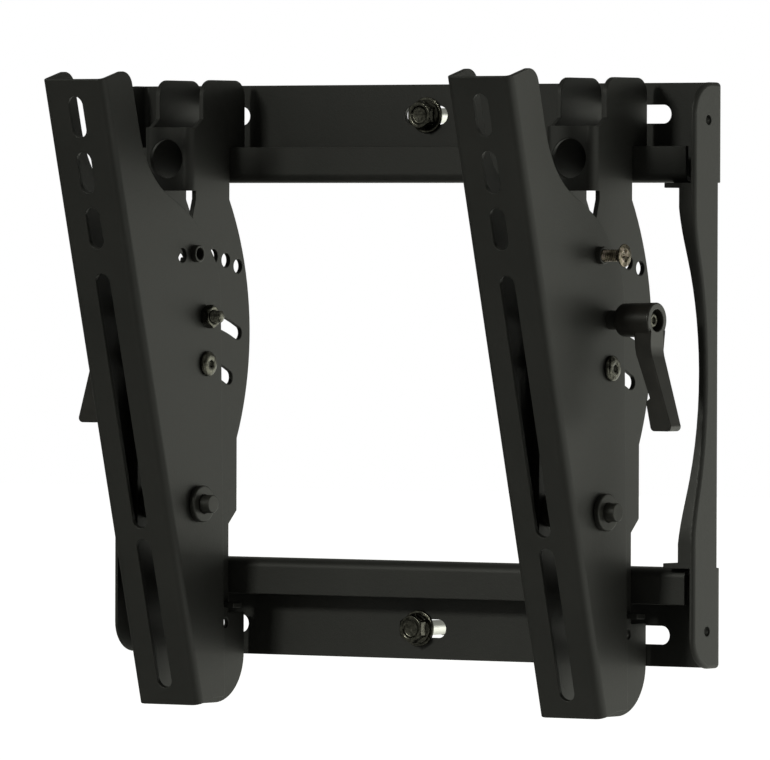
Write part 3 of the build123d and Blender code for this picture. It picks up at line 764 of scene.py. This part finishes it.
def safety_fittings(name, side):
    """Threaded bosses in both walls and the cross-head screw, backed out of the outer one."""
    bosses = []
    for sign in (1, -1):
        foot, out, length, radius = stand(f"{name}_clinch_nuts", sign, pair=True)
        shank_length = abs(outer_face(name, sign) - foot[X])
        loop = [
            (0, SAFETY_SHANK),
            (0, CLINCH_SHANK),
            (shank_length, CLINCH_SHANK),
            (shank_length, radius),
            (length, radius),
            (length, SAFETY_SHANK + BORE_EASE),
            (length - BORE_EASE, SAFETY_SHANK),
            (0, SAFETY_SHANK),
        ]
        bosses.append(along(foot, out, turned(loop, RIM_EASE)))
    skin(f"{name}_clinch_nuts", bosses)
    tip, out, length, radius = stand(f"{name}_safety_screw", side)
    head, face, floor = length - SAFETY_HEAD, length - SAFETY_CROWN, length - CROSS_DEPTH
    countersunk_head = [
        (head, SAFETY_SHANK),
        (face - SAFETY_RIM, radius),
        (face, radius),
        (length, SAFETY_TOP_SHARE * radius),
        (length, SAFETY_MOUTH_SHARE * radius),
    ]
    shape = rings(
        (0.0, circle(0)),
        thread(0, head, SAFETY_SHANK, SAFETY_PITCH, SAFETY_THREAD_DEPTH, MACHINE_POINT),
        turned(countersunk_head, BORE_EASE),
        (length, cross(CROSS_LENGTH, CROSS_WIDTH)),
        (floor, cross(CROSS_FLOOR_LENGTH, CROSS_FLOOR_WIDTH)),
        (floor, circle(0)),
    )
    skin(f"{name}_safety_screw", [along(tip, out, shape)])


def lever_fittings(name, side):
    """The lever's cast handle, its toothed insert, and the button-head screw in its well."""
    soften(f"{name}_lever_handle", CAST_EDGE, segments=3)
    soften(f"{name}_lever_insert", TURNED_EDGE)
    foot, out, length, radius = stand(f"{name}_lever_screw", side)
    height = length - LEVER_SCREW_LENGTH
    crown = LEVER_SCREW_CROWN_SHARE * radius
    shape = button_screw(LEVER_SCREW_LENGTH, LEVER_SCREW_SHANK, height, radius, crown, LEVER_SCREW_SOCKET)
    skin(f"{name}_lever_screw", [along(foot + out * LEVER_SCREW_LENGTH, out, shape)])


def lever_spring(name, side):
    """The spring between the handle and its screw.

    A circle of the wire's radius, spanned by the spoke and the axis, is carried along a helix: foot +
    (half the wire + pitch x turn) x axis + coil radius x spoke, where the spoke turns once a turn. The
    first and last circles have no radius, which closes the ends.
    """
    node = f"{name}_lever_spring"
    foot, out, length, reach = stand(node, side)
    turn = np.linspace(0, SPRING_TURNS, SPRING_TURNS * SPRING_STEPS)[:, None, None]
    around = np.linspace(0, 2 * pi, SPRING_SIDES, endpoint=False)[None, :, None]
    spoke = np.cos(2 * pi * turn) * UP - np.sin(2 * pi * turn) * OUT_OF_WALL
    wire = np.full_like(turn, SPRING_WIRE / 2)
    wire[[0, -1]] = 0
    climb = SPRING_WIRE / 2 + (length - SPRING_WIRE) / SPRING_TURNS * turn
    coil = reach - SPRING_WIRE / 2
    grid = foot + (climb + wire * np.sin(around)) * out + (coil + wire * np.cos(around)) * spoke
    spring = skin(node, [grid])
    joint = next(row for row in record["behaviour"]["joints"] if row["name"] == f"{name}_handle_lift")
    lift = joint["range_m"][1]
    foot + length * out
    1 - lift / length
    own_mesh(spring)


# Camera and studio


def add_camera():
    """Camera from its place, yaw, pitch and roll."""
    ahead = Vector((-sin(CAMERA_YAW), cos(CAMERA_YAW), 0))
    right = Vector((cos(CAMERA_YAW), sin(CAMERA_YAW), 0))
    up = Vector(UP)
    look = ahead * cos(CAMERA_PITCH) + up * sin(CAMERA_PITCH)
    crown = up * cos(CAMERA_PITCH) - ahead * sin(CAMERA_PITCH)
    side = right * cos(CAMERA_ROLL) + crown * sin(CAMERA_ROLL)
    top = crown * cos(CAMERA_ROLL) - right * sin(CAMERA_ROLL)
    camera = bpy.data.objects.new("camera", bpy.data.cameras.new("camera"))
    camera.data.sensor_fit = "HORIZONTAL"
    camera.data.sensor_width = SENSOR_WIDTH_MM
    camera.data.lens = CAMERA_FOCAL_PIXELS * SENSOR_WIDTH_MM / PHOTO_WIDTH_PIXELS
    camera.data.clip_end = CAMERA_REACH
    turn = Matrix((side, top, -look)).transposed()
    camera.matrix_world = Matrix.Translation(CAMERA_PLACE) @ turn.to_4x4()
    bpy.context.scene.collection.objects.link(camera)
    bpy.context.scene.camera = camera


def add_world():
    """White for the camera; for everything else a soft wrap, bright at the back right."""
    world = bpy.data.worlds.new("studio")
    world.use_nodes = True
    world.node_tree.nodes.clear()
    bpy.context.scene.world = world
    sky = Wire(world.node_tree)
    direction = sky.node("ShaderNodeTexCoord", out="Generated")
    wrap = direction.towards(BRIGHT_SIDE).band(*WRAP_ENDS)
    level = FRONT_LEVEL * (1 - wrap) + BACK_LEVEL * wrap
    lit = sky.node("ShaderNodeBackground", None, {"Color": STUDIO_TINT, "Strength": level})
    seen = sky.node("ShaderNodeBackground", None, {"Color": WHITE, "Strength": 1.0})
    sky.node("ShaderNodeOutputWorld", None, {"Surface": sky.apart(lit, seen)})


def add_floor():
    """A pale floor, white to the camera, that throws most of its light up from the back right."""
    corners = FLOOR_HALF * np.array([(-1, -1, 0), (1, -1, 0), (1, 1, 0), (-1, 1, 0)])
    corners[:, Z] = FLOOR_HEIGHT
    mesh = bpy.data.meshes.new("floor")
    mesh.from_pydata(corners.tolist(), [], [(0, 1, 2, 3)])
    floor = bpy.data.objects.new("floor", mesh)
    bpy.context.scene.collection.objects.link(floor)
    material, sheet, coords = start_material("pale_floor")
    dull = (0.86, 0.86, 0.86, 1)
    clean = (0.9, 0.9, 0.9, 1)
    grey = (0.5, 0.5, 0.5, 1)
    speckle = noise(sheet, coords, 30 * MM)
    paper = sheet.node("ShaderNodeBsdfDiffuse", None, {"Color": speckle.mix(dull, clean)})
    glow = sheet.node("ShaderNodeEmission", None, {"Color": WHITE, "Strength": FLOOR_GLOW})
    seen = sheet.node("ShaderNodeAddShader", None, {0: paper, 1: glow})
    level = FLOOR_LEVEL * coords.towards(BRIGHT_SIDE).band(*BOUNCE_ENDS)
    matt = sheet.node("ShaderNodeBsdfDiffuse", None, {"Color": grey})
    bounce = sheet.node("ShaderNodeEmission", None, {"Color": STUDIO_TINT, "Strength": level})
    lit = sheet.node("ShaderNodeAddShader", None, {0: matt, 1: bounce})
    sheet.node("ShaderNodeOutputMaterial", None, {"Surface": sheet.apart(lit, seen)})
    mesh.materials.append(material)


def add_lamp(name, place, aim, width, height, power, spread):
    """An oblong soft box that faces a point, with its beam's spread in degrees."""
    lamp = bpy.data.lights.new(name, "AREA")
    lamp.shape = "RECTANGLE"
    lamp.size = width
    lamp.size_y = height
    lamp.energy = power
    lamp.spread = radians(spread)
    lamp.color = STUDIO_TINT[:3]
    holder = bpy.data.objects.new(name, lamp)
    holder.location = place
    holder.rotation_euler = (Vector(aim) - Vector(place)).to_track_quat("-Z", "Y").to_euler()
    bpy.context.scene.collection.objects.link(holder)


soften("wall_plate", SHEET_EDGE)
wall_screws()
wall_washers()
for name, side in SIDES.items():
    soften(f"{name}_hook_bracket", SHEET_EDGE)
    soften(f"{name}_screen_bracket", SHEET_EDGE)
    pivot_fittings(name)
    guide_fittings(name)
    lock_fittings(name, side)
    safety_fittings(name, side)
    lever_fittings(name, side)
    lever_spring(name, side)

add_camera()
add_world()
add_floor()
for name, settings in LAMPS.items():
    add_lamp(name, **settings)

bpy.context.scene.view_settings.view_transform = "Standard"
